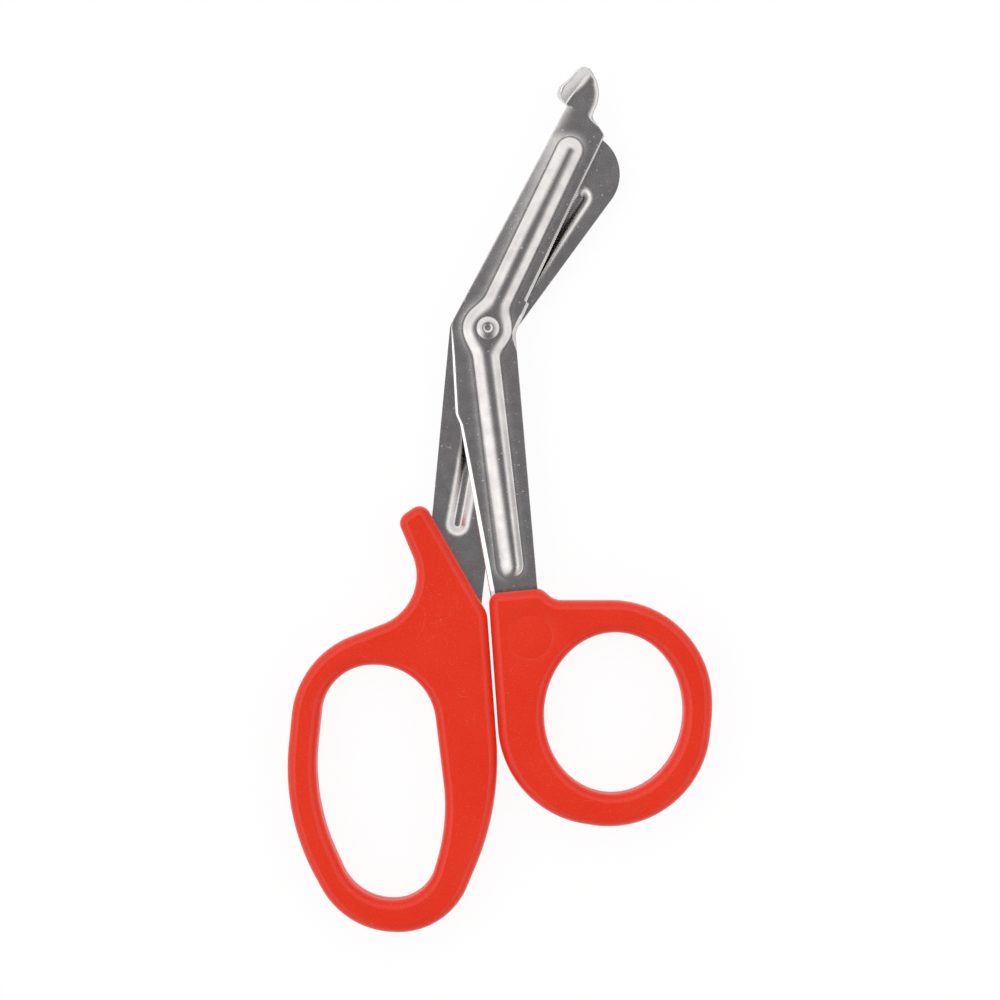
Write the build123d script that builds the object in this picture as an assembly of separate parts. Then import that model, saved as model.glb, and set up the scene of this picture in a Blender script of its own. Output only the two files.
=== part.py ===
from build123d import *
from math import atan2, cos, degrees, hypot, radians, sin, tan
import os

os.makedirs("parts", exist_ok=True)

# Bandage scissors lying flat and closed. Sizes in mm.
# The pivot is at x = 0, y = 0; +Y runs to the blade tips, +X to the thumb ring, +Z up.
# The handles' undersides and the rivet's tail rest on z = 0.

# Sheet steel blades
SHEET = 1.5
BLADE_GAP = 0.1
SPINE_ROUND = 0.7

# Pressed rib and the boss round the pivot
RIB_HEIGHT = 1.25
RIB_CREST = 1.7
RIB_SLOPE = 30.0
RIB_CREST_ROUND = 2.0
BOSS_PLATEAU = 6.4
BOSS_BLEND = 6.0

# Ribs: lean in degrees to the right of +Y, and reach from the pivot
SHOE_RIB_LEAN = 24.3
SHOE_RIB_REACH = 46.3
SHOE_SHANK_RIB_LEAN = 174.3
SHOE_SHANK_RIB_REACH = 54.9
PLAIN_RIB_LEAN = 33.8
PLAIN_RIB_REACH = 38.5
PLAIN_SHANK_RIB_LEAN = 188.0
PLAIN_SHANK_RIB_REACH = 46.1

# Shoe blade above the pivot, measured along and across a line that leans to the right
SHOE_LEAN = 26.7
EDGE_START = 9.05
EDGE_END = 49.6
EDGE_OFFSET_HEEL = 4.6
EDGE_OFFSET_TIP = 3.55
HEEL_STEP = 0.65
SPINE_OFFSET = 6.55
EDGE_TIP_ROUND = 0.9
HEEL_RISE = 0.2
TIP_NECK_REACH = 2.3
TIP_NECK_OFFSET = 0.55
TIP_NECK_ROUND = 1.75
TIP_FALL = 1.7
TIP_OFFSET = 0.9
TIP_ROUND = 7.45

# Shoe blade below the pivot: outline points x, y and their radii
SHOE_NECK = (6.2, -1.0)
SHOE_NECK_ROUND = 2.6
SHOE_SHOULDER = (11.6, -62.9)
SHOE_SHOULDER_ROUND = 2.0
SHOE_KINK_LOW = (-5.8, -20.9)
SHOE_KINK_HIGH = (-6.8, -18.7)
SHOE_KINK_ROUND = 3.0
SHOE_HEEL = (-8.0, 1.0)
SHOE_HEEL_ROUND = 5.5

# Ground cutting edges
BEVEL_WIDTH = 0.4
TOOTH_PITCH = 0.5
TOOTH_DEPTH = 0.14
GRIND_RUN_OUT = 2.0
GRIND_DEPTH = 3.0

# Shoe folded up from the tip of the long blade
FOLD_START = 51.75
FOLD_END = 60.9
FOLD_INSET = 0.9
SHOE_ANGLE = 55.0
SHOE_BEND = 0.6
SHOE_WIDTH = 3.7
SHOE_CORNER = 3.0
SHOE_EDGE_ROUND = 0.45

# Plain blade: outline points x, y and their radii, and the slope of the bulb's end
PLAIN_BULB = (34.8, 38.9)
PLAIN_BULB_ROUND = 9.3
PLAIN_TIP_SLOPE = 17.3
PLAIN_TIP_STRAIGHT = 1.9
PLAIN_TIP_ROUND = 0.7
PLAIN_WAIST = (5.2, -1.4)
PLAIN_WAIST_ROUND = 2.6
PLAIN_HEEL = (-8.3, 1.0)
PLAIN_HEEL_ROUND = 4.4
PLAIN_SHOULDER = (-13.2, -51.0)
PLAIN_SHOULDER_ROUND = 4.0

# Tangs inside the handles
TANG_END = -79.0
SHOE_TANG = (4.4, 9.2)
PLAIN_TANG = (-8.3, -3.5)
TANG_HOLE = 3.5
TANG_HOLE_RISE = 10.0
SHOE_TANG_HOLE_X = 7.6
PLAIN_TANG_HOLE_X = -6.8

# Rivet
RIVET_SHANK = 3.2
RIVET_HEAD = 5.0
RIVET_HEAD_HEIGHT = 1.0
RIVET_HEAD_DOME = 0.65
RIVET_TAIL = 5.6
RIVET_TAIL_ROUND = 0.35
RUNNING_CLEARANCE = 0.05
DIMPLE_MOUTH = 2.0
DIMPLE_FLOOR = 1.1
DIMPLE_DEPTH = 0.35

# Moulded handles
HANDLE_THICKNESS = 8.0
HANDLE_ROUND = 2.0
HOLE_ROUND = 1.95
CORNER_SPARE = 0.2

# Thumb ring and the stem that leads to it
RING_X = 27.6
RING_Y = -83.9
RING_HOLE_WIDTH = 29.8
RING_HOLE_LENGTH = 34.6
RING_TILT = 5.0
RING_WALL = 6.4
RING_END_WALL = 7.5
RING_SKEW = 1.7
RING_TOP_ROUND = 23.4
RING_FOOT_ROUND = 22.3
RING_FOOT_DROP = 3.6
STEM_LEFT = 0.05
STEM_FOOT_LEFT = 3.5
STEM_FOOT_RISE = 2.9
STEM_RIGHT = 11.5
STEM_LEFT_RISE = 1.3
STEM_RIGHT_RISE = 2.35
STEM_CROOK = 3.1
STEM_CROOK_ROUND = 4.2
EJECTOR_MARK = 9.8
EJECTOR_DEPTH = 0.15
EJECTOR_X = 9.2
EJECTOR_DROP = 8.1

# Finger loop: right side and top of its hole, and the walls round it
LOOP_RIGHT = -9.3
LOOP_TOP = -73.6
LOOP_HOLE_WIDTH = 28.4
LOOP_HOLE_LENGTH = 51.0
LOOP_WALL = 6.0
LOOP_FOOT_WALL = 7.05
LOOP_STEM_WALL = 12.4

# Finger rest above the loop: outline points x, with their rises from the hole's top
HORN_LEFT = -19.9
HORN_LEFT_RISE = 32.0
HORN_TIP = -14.2
HORN_TIP_RISE = 35.9
HORN_FOOT = -0.2
HORN_FOOT_RISE = 11.4
HORN_FOOT_ROUND = 5.5
CROOK_X = -12.0
CROOK_RISE = 13.3
CROOK_ROUND = 11.4

MID_PLANE = HANDLE_THICKNESS / 2
RIB_RUN = RIB_HEIGHT / tan(radians(RIB_SLOPE))


def along(lean, reach, across):
    """Point at a reach from the pivot on a line leaning right of +Y, moved across to its right."""
    angle = radians(lean)
    return reach * sin(angle) + across * cos(angle), reach * cos(angle) - across * sin(angle)


def rounded(corners):
    """Face inside a closed outline of corners, each with its own radius."""
    points = [(x, y) for x, y, radius in corners]
    radii = [radius for x, y, radius in corners]
    return make_face(FilletPolyline(*points, radius=radii, close=True))


def rib_plan(ribs, shrink):
    """Plan of the boss and its two ribs at crest level, drawn in by the shrink."""
    half = RIB_CREST / 2 - shrink
    radius = BOSS_PLATEAU / 2 - shrink
    plan = Rot(0, 0, 90 - ribs[0][0]) * Circle(radius)
    for lean, reach in ribs:
        length = reach - RIB_RUN - half
        bar = Pos(length / 2, 0) * Rectangle(length, 2 * half) + Pos(length, 0) * Circle(half)
        plan += Rot(0, 0, 90 - lean) * bar
    roots = [v for v in plan.vertices() if abs(hypot(v.X, v.Y) - radius) < 0.01]
    return fillet(roots, BOSS_BLEND + shrink)


def pressed_rib(ribs, shrink, crest):
    """Sloping-sided rib and boss whose flat crest is at the given height."""
    return extrude(Pos(0, 0, crest) * rib_plan(ribs, shrink), -RIB_HEIGHT, taper=RIB_SLOPE - 90)


def grinding(start, end, teeth):
    """Waste outside a cutting edge; its side leans in as it rises and may carry teeth."""
    run_x, run_y = end[0] - start[0], end[1] - start[1]
    length = hypot(run_x, run_y)
    heading = degrees(atan2(run_y, run_x))
    edge = [(0, 0), (length, 0)]
    if teeth:
        edge = [(0, 0)]
        for i in range(int(length / TOOTH_PITCH)):
            edge += [((i + 0.5) * TOOTH_PITCH, TOOTH_DEPTH), ((i + 1) * TOOTH_PITCH, 0)]
    far = length + GRIND_RUN_OUT
    waste = Polyline(*edge, (far, 0), (far, -GRIND_DEPTH), (0, -GRIND_DEPTH), close=True)
    place = Pos(*start) * Rot(0, 0, heading)
    lean_in = Vector(0, BEVEL_WIDTH, SHEET).rotate(Axis.Z, heading)
    return extrude(place * make_face(waste), 1.2 * lean_in.length, dir=lean_in.normalized())


def pressed_blade(sheet, ribs, bore):
    """Sheet with its rib pressed up out of it, hollow on the inner face, and bored at the pivot."""
    inset = SHEET * tan(radians(RIB_SLOPE / 2))
    ridge = pressed_rib(ribs, 0, SHEET + RIB_HEIGHT)
    ridge = fillet(ridge.edges().group_by(Axis.Z)[-1], RIB_CREST_ROUND)
    hollow = pressed_rib(ribs, inset, RIB_HEIGHT)
    return sheet + ridge - hollow - Cylinder(bore / 2, 4 * SHEET + 2 * RIB_HEIGHT)


def handle_body(face):
    """Handle moulding of a plan face, its outer edges and its hole's edges rounded."""
    body = extrude(face, HANDLE_THICKNESS)
    flats = body.faces().filter_by(Axis.Z)
    body = fillet([e for f in flats for e in f.outer_wire().edges()], HANDLE_ROUND)
    flats = body.faces().filter_by(Axis.Z)
    return fillet([e for f in flats for w in f.inner_wires() for e in w.edges()], HOLE_ROUND)


# Shoe blade, drawn with its inner face on z = 0 and its rib up
edge_heel = along(SHOE_LEAN, EDGE_START, EDGE_OFFSET_HEEL)
edge_tip = along(SHOE_LEAN, EDGE_END, EDGE_OFFSET_TIP)
fold_foot = along(SHOE_LEAN, FOLD_START, -SPINE_OFFSET)
fold_top = along(SHOE_LEAN, FOLD_END, FOLD_INSET - SPINE_OFFSET)

shoe_outline = [
    (*fold_foot, 0),
    (*fold_top, 0),
    (*along(SHOE_LEAN, FOLD_END - TIP_FALL, -TIP_OFFSET), TIP_ROUND),
    (*along(SHOE_LEAN, EDGE_END + TIP_NECK_REACH, -TIP_NECK_OFFSET), TIP_NECK_ROUND),
    (*edge_tip, EDGE_TIP_ROUND),
    (*edge_heel, 0),
    (*along(SHOE_LEAN, EDGE_START - HEEL_RISE, EDGE_OFFSET_HEEL + HEEL_STEP), 0),
    (*SHOE_NECK, SHOE_NECK_ROUND),
    (*SHOE_SHOULDER, SHOE_SHOULDER_ROUND),
    (SHOE_TANG[1], TANG_END, 0),
    (SHOE_TANG[0], TANG_END, 0),
    (*SHOE_KINK_LOW, SHOE_KINK_ROUND),
    (*SHOE_KINK_HIGH, SHOE_KINK_ROUND),
    (*SHOE_HEEL, SHOE_HEEL_ROUND),
]
shoe_ribs = [(SHOE_RIB_LEAN, SHOE_RIB_REACH), (SHOE_SHANK_RIB_LEAN, SHOE_SHANK_RIB_REACH)]

shoe_sheet = extrude(rounded(shoe_outline), SHEET)
spine = (*along(SHOE_LEAN, FOLD_START / 2, -SPINE_OFFSET), SHEET)
shoe_sheet = fillet(shoe_sheet.edges().sort_by_distance(spine)[0], SPINE_ROUND)
shoe_blade = pressed_blade(shoe_sheet, shoe_ribs, RIVET_SHANK + 2 * RUNNING_CLEARANCE)
shoe_blade -= grinding(edge_heel, edge_tip, True)
shoe_blade -= Pos(SHOE_TANG_HOLE_X, TANG_END + TANG_HOLE_RISE) * Cylinder(TANG_HOLE / 2, 4 * SHEET)

# The shoe: the strip left of the fold is bent up and its corners are rounded
fold_heading = degrees(atan2(fold_top[1] - fold_foot[1], fold_top[0] - fold_foot[0]))
fold_length = hypot(fold_top[0] - fold_foot[0], fold_top[1] - fold_foot[1])
fold_line = Vector(1, 0, 0).rotate(Axis.Z, fold_heading)
fold_left = Vector(0, 1, 0).rotate(Axis.Z, fold_heading)
bend_plane = Plane(origin=(*fold_foot, 0), x_dir=fold_left, z_dir=fold_line)
inside = CenterArc((0, SHEET + SHOE_BEND), SHOE_BEND, -90, SHOE_ANGLE)
outside = CenterArc((0, SHEET + SHOE_BEND), SHOE_BEND + SHEET, -90, SHOE_ANGLE)
ends = [Line(inside @ 0, outside @ 0), Line(inside @ 1, outside @ 1)]
shoe_blade += extrude(bend_plane * make_face([inside, outside, *ends]), fold_length)

flap = rounded([
    (0, 0, 0),
    (fold_length, 0, 0),
    (fold_length, SHOE_WIDTH, SHOE_CORNER),
    (0, SHOE_WIDTH, SHOE_CORNER),
])
flap = extrude(flap, SHEET)
free_edges = [e for e in flap.edges().filter_by(Axis.Z, reverse=True) if e.center().Y > 0.01]
flap = fillet(free_edges, SHOE_EDGE_ROUND)
flap_foot = bend_plane.from_local_coords(outside @ 1)
flap_normal = Vector(0, 0, 1).rotate(Axis((0, 0, 0), fold_line), SHOE_ANGLE)
shoe_blade += Plane(origin=flap_foot, x_dir=fold_line, z_dir=flap_normal) * flap
shoe_blade = Pos(0, 0, MID_PLANE + BLADE_GAP / 2) * shoe_blade

# Plain blade, drawn the same way and then turned rib down
bulb_lean = degrees(atan2(PLAIN_BULB[0] - PLAIN_WAIST[0], PLAIN_BULB[1] - PLAIN_WAIST[1]))
bulb_turn = 90 + bulb_lean - PLAIN_TIP_SLOPE
end_length = PLAIN_BULB_ROUND * tan(radians(bulb_turn / 2)) + PLAIN_TIP_STRAIGHT
slope = radians(PLAIN_TIP_SLOPE)
plain_tip = (PLAIN_BULB[0] - end_length * cos(slope), PLAIN_BULB[1] + end_length * sin(slope))
plain_outline = [
    (*plain_tip, PLAIN_TIP_ROUND),
    (*PLAIN_BULB, PLAIN_BULB_ROUND),
    (*PLAIN_WAIST, PLAIN_WAIST_ROUND),
    (PLAIN_TANG[1], TANG_END, 0),
    (PLAIN_TANG[0], TANG_END, 0),
    (*PLAIN_SHOULDER, PLAIN_SHOULDER_ROUND),
    (*PLAIN_HEEL, PLAIN_HEEL_ROUND),
]
plain_ribs = [(PLAIN_RIB_LEAN, PLAIN_RIB_REACH), (PLAIN_SHANK_RIB_LEAN, PLAIN_SHANK_RIB_REACH)]
edge_foot = [heel + 0.3 * (tip - heel) for heel, tip in zip(PLAIN_HEEL, plain_tip)]

plain_blade = pressed_blade(extrude(rounded(plain_outline), SHEET), plain_ribs, RIVET_SHANK)
plain_blade -= grinding(plain_tip, edge_foot, False)
plain_blade -= Pos(PLAIN_TANG_HOLE_X, TANG_END + TANG_HOLE_RISE) * Cylinder(TANG_HOLE / 2, 4 * SHEET)
plain_blade = Pos(0, 0, MID_PLANE - BLADE_GAP / 2) * mirror(plain_blade, Plane.XY)

# Rivet: a flat tail under the plain blade, the shank, and a domed head with a punched dimple
tail_top = MID_PLANE - BLADE_GAP / 2 - SHEET - RIB_HEIGHT
head_foot = MID_PLANE + BLADE_GAP / 2 + SHEET + RIB_HEIGHT + RUNNING_CLEARANCE
up = (Align.CENTER, Align.CENTER, Align.MIN)
tail = Cylinder(RIVET_TAIL / 2, tail_top, align=up)
tail = fillet(tail.edges().group_by(Axis.Z)[0], RIVET_TAIL_ROUND)
head_rim = RIVET_HEAD_HEIGHT - RIVET_HEAD_DOME
dome = TangentArc((0, RIVET_HEAD_HEIGHT), (RIVET_HEAD / 2, head_rim), tangent=(1, 0))
under = Polyline((RIVET_HEAD / 2, head_rim), (RIVET_HEAD / 2, 0), (0, 0), (0, RIVET_HEAD_HEIGHT))
head = revolve(Plane.XZ * make_face([dome, under]), Axis.Z)
dimple = Cone(DIMPLE_FLOOR / 2, DIMPLE_MOUTH / 2, DIMPLE_DEPTH, align=up)
head -= Pos(0, 0, RIVET_HEAD_HEIGHT - DIMPLE_DEPTH) * dimple
pivot_rivet = tail + Cylinder(RIVET_SHANK / 2, head_foot, align=up) + Pos(0, 0, head_foot) * head

# Thumb ring handle; its ring is a square with large corners, a little tilted like its hole
ring_right = RING_X + RING_HOLE_WIDTH / 2 + RING_WALL
ring_half_length = RING_HOLE_LENGTH / 2 + RING_END_WALL
ring_top = RING_Y + ring_half_length
ring_foot = RING_Y - ring_half_length
stem_round = HANDLE_ROUND + CORNER_SPARE
thumb_outline = [
    (STEM_LEFT, ring_top + STEM_LEFT_RISE, stem_round),
    (STEM_RIGHT, ring_top + STEM_RIGHT_RISE, stem_round),
    (STEM_RIGHT + STEM_CROOK, ring_top, STEM_CROOK_ROUND),
    (ring_right + RING_SKEW, ring_top, min(RING_TOP_ROUND, 0.95 * ring_half_length)),
    (ring_right - RING_SKEW, ring_foot - RING_FOOT_DROP, min(RING_FOOT_ROUND, 0.92 * ring_half_length)),
    (STEM_FOOT_LEFT, ring_foot + STEM_FOOT_RISE, min(RING_FOOT_ROUND, 0.92 * ring_half_length)),
]
thumb_hole = Rot(0, 0, -RING_TILT) * Ellipse(RING_HOLE_WIDTH / 2, RING_HOLE_LENGTH / 2)
thumb_ring_handle = handle_body(rounded(thumb_outline) - Pos(RING_X, RING_Y) * thumb_hole)
mark = Cylinder(EJECTOR_MARK / 2, 2 * EJECTOR_DEPTH)
thumb_ring_handle -= Pos(EJECTOR_X, ring_top - EJECTOR_DROP, HANDLE_THICKNESS) * mark
thumb_ring_handle -= shoe_blade

# Finger loop handle with its finger rest at the top; the loop's rounds follow its width and length
loop_left = LOOP_RIGHT - LOOP_HOLE_WIDTH
loop_foot = LOOP_TOP - LOOP_HOLE_LENGTH
outer_left = loop_left - LOOP_WALL
outer_foot = loop_foot - LOOP_FOOT_WALL
finger_outline = [
    (HORN_LEFT, LOOP_TOP + HORN_LEFT_RISE, HANDLE_ROUND + 3 * CORNER_SPARE),
    (HORN_TIP, LOOP_TOP + HORN_TIP_RISE, HANDLE_ROUND + CORNER_SPARE),
    (HORN_FOOT, LOOP_TOP + HORN_FOOT_RISE, HORN_FOOT_ROUND),
    (LOOP_RIGHT + LOOP_STEM_WALL, LOOP_TOP - 0.6 * LOOP_HOLE_LENGTH, 1.15 * LOOP_HOLE_LENGTH),
    (LOOP_RIGHT + 0.014 * LOOP_HOLE_WIDTH, outer_foot - 0.02 * LOOP_HOLE_LENGTH, 0.575 * LOOP_HOLE_WIDTH),
    (loop_left + 0.23 * LOOP_HOLE_WIDTH, outer_foot + 0.006 * LOOP_HOLE_LENGTH, 0.59 * LOOP_HOLE_WIDTH),
    (outer_left - 0.055 * LOOP_HOLE_WIDTH, LOOP_TOP - 0.635 * LOOP_HOLE_LENGTH, 0.92 * LOOP_HOLE_LENGTH),
    (outer_left + 0.08 * LOOP_HOLE_WIDTH, LOOP_TOP + 0.033 * LOOP_HOLE_LENGTH, 0.4 * LOOP_HOLE_LENGTH),
    (CROOK_X, LOOP_TOP + CROOK_RISE, CROOK_ROUND),
]
finger_hole = [
    (loop_left + 0.06 * LOOP_HOLE_WIDTH, LOOP_TOP, 0.41 * LOOP_HOLE_WIDTH),
    (LOOP_RIGHT - 0.085 * LOOP_HOLE_WIDTH, LOOP_TOP, 0.5 * LOOP_HOLE_WIDTH),
    (LOOP_RIGHT + 0.04 * LOOP_HOLE_WIDTH, LOOP_TOP - 0.67 * LOOP_HOLE_LENGTH, 0.8 * LOOP_HOLE_LENGTH),
    (LOOP_RIGHT - 0.12 * LOOP_HOLE_WIDTH, loop_foot, min(0.33 * LOOP_HOLE_WIDTH, 0.2 * LOOP_HOLE_LENGTH)),
    (loop_left + 0.32 * LOOP_HOLE_WIDTH, loop_foot, 0.41 * LOOP_HOLE_WIDTH),
    (loop_left - 0.04 * LOOP_HOLE_WIDTH, LOOP_TOP - 0.57 * LOOP_HOLE_LENGTH, 0.88 * LOOP_HOLE_LENGTH),
]
finger_loop_handle = handle_body(rounded(finger_outline) - rounded(finger_hole))
finger_loop_handle -= plain_blade

export_step(shoe_blade, "parts/shoe_blade.step")
export_step(plain_blade, "parts/plain_blade.step")
export_step(pivot_rivet, "parts/pivot_rivet.step")
export_step(thumb_ring_handle, "parts/thumb_ring_handle.step")
export_step(finger_loop_handle, "parts/finger_loop_handle.step")
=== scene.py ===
import math
from typing import NamedTuple

import bmesh
import bpy
import mathutils
import numpy as np
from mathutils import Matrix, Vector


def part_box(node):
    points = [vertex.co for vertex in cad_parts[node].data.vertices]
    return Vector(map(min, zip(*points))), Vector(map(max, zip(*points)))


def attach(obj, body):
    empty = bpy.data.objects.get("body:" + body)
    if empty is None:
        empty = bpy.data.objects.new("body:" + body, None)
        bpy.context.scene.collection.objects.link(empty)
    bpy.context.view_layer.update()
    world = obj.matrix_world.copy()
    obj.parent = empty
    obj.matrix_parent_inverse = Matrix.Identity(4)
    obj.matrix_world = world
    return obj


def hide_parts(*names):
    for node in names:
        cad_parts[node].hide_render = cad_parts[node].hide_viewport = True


bl_info = {
    "name": "Bandage scissors",
    "version": (1, 0, 0),
    "blender": (4, 5, 0),
    "location": "View3D > Sidebar > Scissors",
    "description": "Dresses a packed pair of bandage scissors and sets them on a plain studio floor",
    "category": "Object",
}

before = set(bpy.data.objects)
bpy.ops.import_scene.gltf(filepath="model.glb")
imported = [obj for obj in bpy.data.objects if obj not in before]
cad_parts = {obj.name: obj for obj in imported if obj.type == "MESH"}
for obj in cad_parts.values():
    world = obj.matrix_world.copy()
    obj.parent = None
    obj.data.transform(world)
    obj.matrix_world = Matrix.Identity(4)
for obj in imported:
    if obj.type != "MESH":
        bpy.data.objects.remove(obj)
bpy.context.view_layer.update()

MM = 0.001
HANDLE_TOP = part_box("thumb_ring_handle")[1].z
MID_PLANE = HANDLE_TOP / 2

# Points on the curves and grids.
ARC_POINTS = 161
ELLIPSE_POINTS = 721
SEARCH_POINTS = 8001
PROFILE_POINTS = 4001
OUTLINE_POINTS = 960
HOLE_POINTS = 640
MARK_POINTS = 160
RIVET_POINTS = 128
CREASE_STEPS = 5
EDGE_STEPS = 17
HALVINGS = 30

# Distances in metres under which points are one, and under which an edge has no length.
SAME_POINT = 1e-9
WELD = 2e-7
SLIVER = 1e-8

# Handles: plan outlines in mm from the pivot, as x, y and the radius of the corner there.
THUMB_OUTLINE = (
    (0.05, -57.8, 2.5), (11.5, -56.75, 2.5), (14.6, -59.35, 4.2),
    (48.0, -59.35, 22.0), (49.1, -83.5, 36.0), (45.9, -111.9, 22.3), (3.5, -105.55, 22.3),
)
THUMB_HOLE_CENTRE = (27.45, -83.95)
THUMB_HOLE_RADII = (15.15, 17.55)
THUMB_HOLE_TILT = math.radians(-5.0)
EJECTOR_CENTRE = (9.2, -67.2)
SCRATCHED = (-13.5, -59.5, 8.0)
FINGER_OUTLINE = (
    (-19.9, -41.6, 2.6), (-14.2, -37.7, 2.5), (-0.2, -62.2, 5.5), (2.9, -104.2, 58.6), (-8.9, -132.4, 16.3),
    (-31.4, -131.2, 18.6), (-45.1, -106.3, 50.0), (-41.65, -71.8, 20.4), (-12.0, -60.3, 11.4),
)
FINGER_HOLE = (
    (-35.3, -73.5, 11.2), (-12.9, -73.5, 13.2), (-8.7, -107.8, 42.0),
    (-13.6, -124.7, 9.2), (-28.5, -124.6, 11.9), (-38.4, -102.7, 45.8),
)
LEVEL_BORDER = 0.04 * MM


class Rib(NamedTuple):
    """Pressed rib: the x at which its line passes the pivot, its lean to the right of +Y, and its reach.

    At the rib's end the crest is drawn in to a ridge, and it strays to the rib's right.
    """

    start: float
    lean: float
    reach: float
    ridge: float
    stray: float


def rib_line(start, lean, reach, ridge=0.0, stray=0.0):
    """Rib from lengths in mm and a lean in degrees."""
    return Rib(start * MM, math.radians(lean), reach * MM, ridge * MM, stray * MM)


SHOE_RIBS = (rib_line(-0.67, 25.5, 45.9, ridge=0.45), rib_line(-1.05, 173.5, 54.9, ridge=0.15, stray=-1.05))
PLAIN_RIBS = (rib_line(0.95, 33.5, 37.6), rib_line(0.95, 190.2, 46.3))
# Past a rib's end the grid's columns ease to even ones over this distance.
RIB_END_EASE = 4.0 * MM
# Share of the lead-in, just past the rib's foot, that stays nearly level.
LEVEL_LINE = 0.1
# A blade's rounded edges shrink with its width where it is narrower than this.
NARROW_TIP = 4.0 * MM

SHOE_LEAN = math.radians(26.7)
SPINE_OFFSET = -6.45
FOLD_FOOT = (51.4, SPINE_OFFSET)
FOLD_TOP = (60.5, SPINE_OFFSET + 0.9)


def leaning(reach, across):
    """Plan point in mm at a reach along the shoe blade's line and at a distance across to its right."""
    return (
        reach * math.sin(SHOE_LEAN) + across * math.cos(SHOE_LEAN),
        reach * math.cos(SHOE_LEAN) - across * math.sin(SHOE_LEAN),
    )


EDGE_HEEL = leaning(9.05, 4.9)
EDGE_TIP = leaning(49.2, 3.85)
SHOE_LEFT = (
    (4.15, -79.0, 0), (-6.05, -20.9, 3.0), (-7.05, -18.7, 3.0), (-8.1, 1.0, 5.5),
    (*leaning(*FOLD_FOOT), 0), (*leaning(*FOLD_TOP), 0),
)
SHOE_RIGHT = (
    (8.95, -79.0, 0), (11.35, -62.9, 2.0), (6.0, -1.0, 2.6), (*leaning(8.85, 5.55), 0.1), (*EDGE_HEEL, 0.1),
    (*EDGE_TIP, 0.9), (*leaning(51.5, -0.55), 1.75), (*leaning(58.8, -0.9), 7.45), (*leaning(*FOLD_TOP), 0),
)
# Pairs of points on the left and right outlines that a row of the blade's grid joins, and the number of rows
# from there to the next pair.
SHOE_STATIONS = (
    ((4.15, -79.0), (8.95, -79.0), 14),
    ((1.35, -63.0), (11.35, -62.9), 16),
    ((0.7, -58.0), (11.2, -58.0), 68),
    ((-1.0, -48.0), (10.3, -48.0), 96),
    ((-7.2, -12.0), (7.2, -12.0), 90),
    (leaning(8.85, SPINE_OFFSET), leaning(8.85, 5.55), 3),
    (leaning(9.05, SPINE_OFFSET), EDGE_HEEL, 324),
    (leaning(48.2, SPINE_OFFSET), EDGE_TIP, 22),
    (leaning(*FOLD_FOOT), leaning(51.5, -0.55), 60),
    (leaning(*FOLD_TOP), leaning(*FOLD_TOP), 0),
)
# Places in that list of the heel, the two ends of the cutting edge, and the fold.
HEEL, EDGE_START, EDGE_STOP, FOLD = 5, 6, 7, 8
# Shoe blade, in mm: where the teeth are plain, where the shank's ground strip ends, the start of the spine's
# roll before the heel, the cup beside the fold and the roll of the tip's right rim.
TEETH_FROM, TEETH_TO, TEETH_FADE = 15.0, 37.0, 4.0
SHANK_END, SHANK_EASE = -4.0, 4.0
SPINE_LEAD, SPINE_EASE = 4.0, 6.0
CUP_START, CUP_GROWTH = 0.25, 2.3
TIP_ROLL_FROM, TIP_ROLL_EASE, TIP_ROLL_WIDTH = 43.5, 3.0, 1.6
# Cup: its tilt, reached where the share of the fold times the haste is 1. Tip roll: its slope, and its
# greatest share of the width. Spine: the least share of its roll. Teeth: the share of the ground mark, a
# painted highlight on the ground bevel, that they take away.
CUP_TILT, CUP_HASTE = math.radians(30.0), 1.5
TIP_ROLL_SLOPE, TIP_ROLL_SHARE = 0.3, 0.45
LEAST_SPINE = 0.35
TOOTH_HIGHLIGHT_BREAK = 0.75

PLAIN_TIP = (20.54, 43.34)
PLAIN_LEFT = ((-8.3, -79.0, 0), (-13.2, -51.0, 4.0), (-8.3, 1.0, 4.4), (*PLAIN_TIP, 0))
PLAIN_RIGHT = ((-3.5, -79.0, 0), (5.2, -1.4, 2.6), (34.8, 38.9, 9.3), (*PLAIN_TIP, 0))
PLAIN_STATIONS = (
    ((-8.3, -79.0), (-3.5, -79.0), 24),
    ((-13.0, -51.0), (-0.4, -51.0), 210),
    ((-8.9, -10.0), (4.2, -10.0), 70),
    ((-1.0, 11.7), (12.4, 8.4), 200),
    ((15.6, 36.1), (27.1, 28.4), 80),
    (PLAIN_TIP, PLAIN_TIP, 0),
)
# Place in that list at which the ground edge begins.
PLAIN_GROUND = 3

BRIGHT_NICK = (0.86, 0.85, 0.84)
# Colour of the ground bevels: their ground finish, lightened further as a painted highlight.
GROUND_HIGHLIGHT_STEEL = (0.93, 0.92, 0.91)
# Colour of the painted shade on the steel where the shoe blade goes into the thumb handle.
HANDLE_SHADE = (0.16, 0.11, 0.09)
SCUFFED_PLASTIC = (0.9, 0.25, 0.19)
BUMP_DEPTH = 0.02 * MM
BUMP_STRENGTH = 0.2


def length_setting(name, description, default):
    """Property that holds a length in metres."""
    return bpy.props.FloatProperty(name=name, description=description, default=default, unit="LENGTH")


def angle_setting(name, description, degrees):
    """Property that holds an angle."""
    return bpy.props.FloatProperty(
        name=name, description=description, default=math.radians(degrees), subtype="ANGLE")


def colour_setting(name, description, default, most=1.0):
    """Property that holds a colour, or a light's colour if most is over 1."""
    return bpy.props.FloatVectorProperty(
        name=name, description=description, default=default, subtype="COLOR", max=most)


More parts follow.
